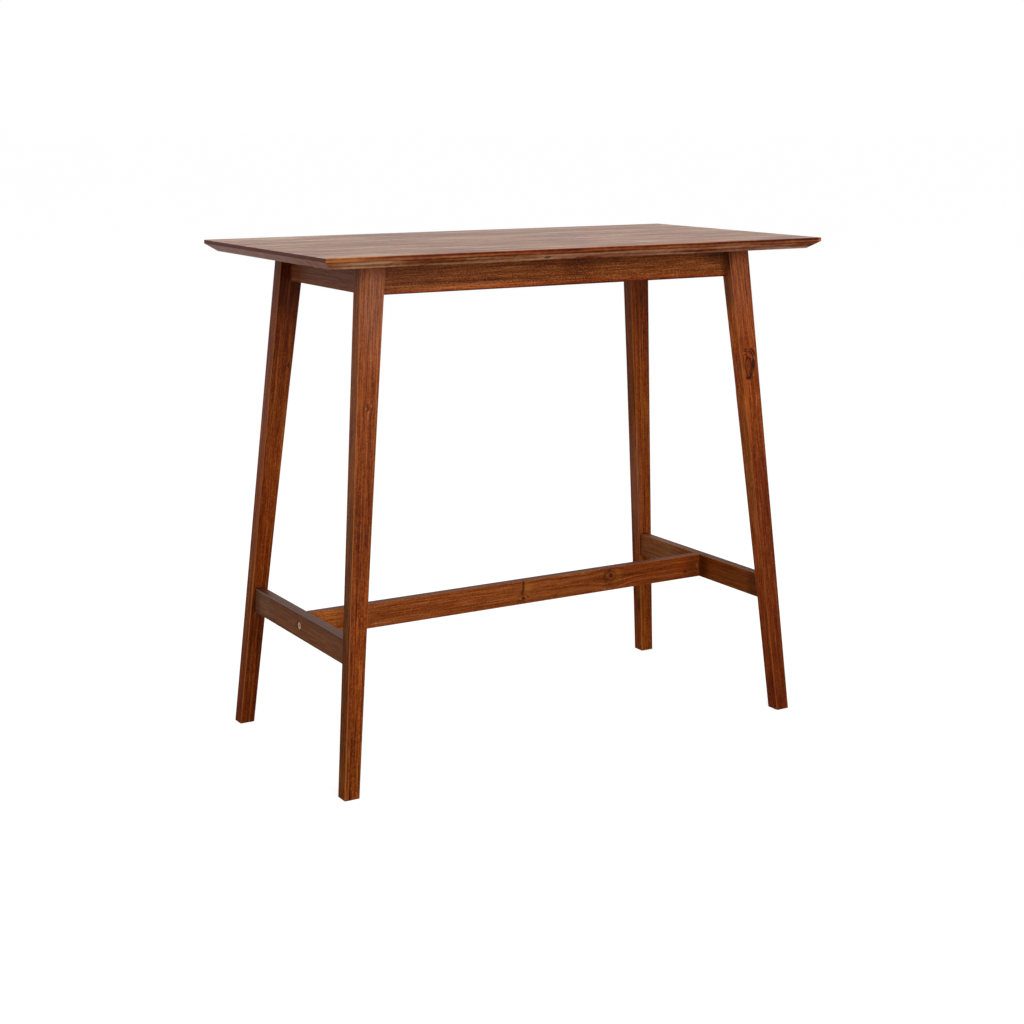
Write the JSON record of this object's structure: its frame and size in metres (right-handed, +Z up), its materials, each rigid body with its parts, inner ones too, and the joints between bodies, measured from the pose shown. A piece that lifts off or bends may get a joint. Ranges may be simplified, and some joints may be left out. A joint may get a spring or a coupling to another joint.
{
  "type": "bar table",
  "caption": "Rectangular wooden bar table with an undercut bevelled top, splayed tapering legs, an apron frame and an H-shaped low stretcher.",
  "frame": {"origin": "on the floor, under the middle of the top", "axes": "+X along the table, +Y across it towards the back, +Z up"},
  "size_m": [1.2, 0.6, 1.05],
  "materials": {
    "top_wood": "satin lacquered, dark walnut stain, fine straight grain",
    "leg_wood": "satin lacquered, dark walnut stain",
    "rail_wood": "satin lacquered, dark walnut stain",
    "block_wood": "sawn, unstained inside the frame",
    "dowel_wood": "raw beech, fluted",
    "bolt_brass": "pale brass plated",
    "zinc_steel": "zinc plated"
  },
  "bodies": {
    "root": {"top_board_1": "top_wood", "top_board_2": "top_wood", "top_board_3": "top_wood", "top_board_4": "top_wood", "top_board_5": "top_wood", "top_board_6": "top_wood", "leg_back_right": "leg_wood", "leg_back_left": "leg_wood", "leg_front_right": "leg_wood", "leg_front_left": "leg_wood", "corner_block_back_right": "block_wood", "corner_block_back_left": "block_wood", "corner_block_front_right": "block_wood", "corner_block_front_left": "block_wood", "apron_front": "rail_wood", "apron_back": "rail_wood", "apron_left": "rail_wood", "apron_right": "rail_wood", "stretcher_left": "rail_wood", "stretcher_right": "rail_wood", "stretcher_long": "rail_wood", "stretcher_dowels": "dowel_wood", "connector_bolts": "bolt_brass", "barrel_nuts": "zinc_steel", "hanger_bolts": "zinc_steel", "hanger_washers": "zinc_steel", "hanger_nuts": "zinc_steel", "top_brackets": "zinc_steel"}
  },
  "joints": []
}
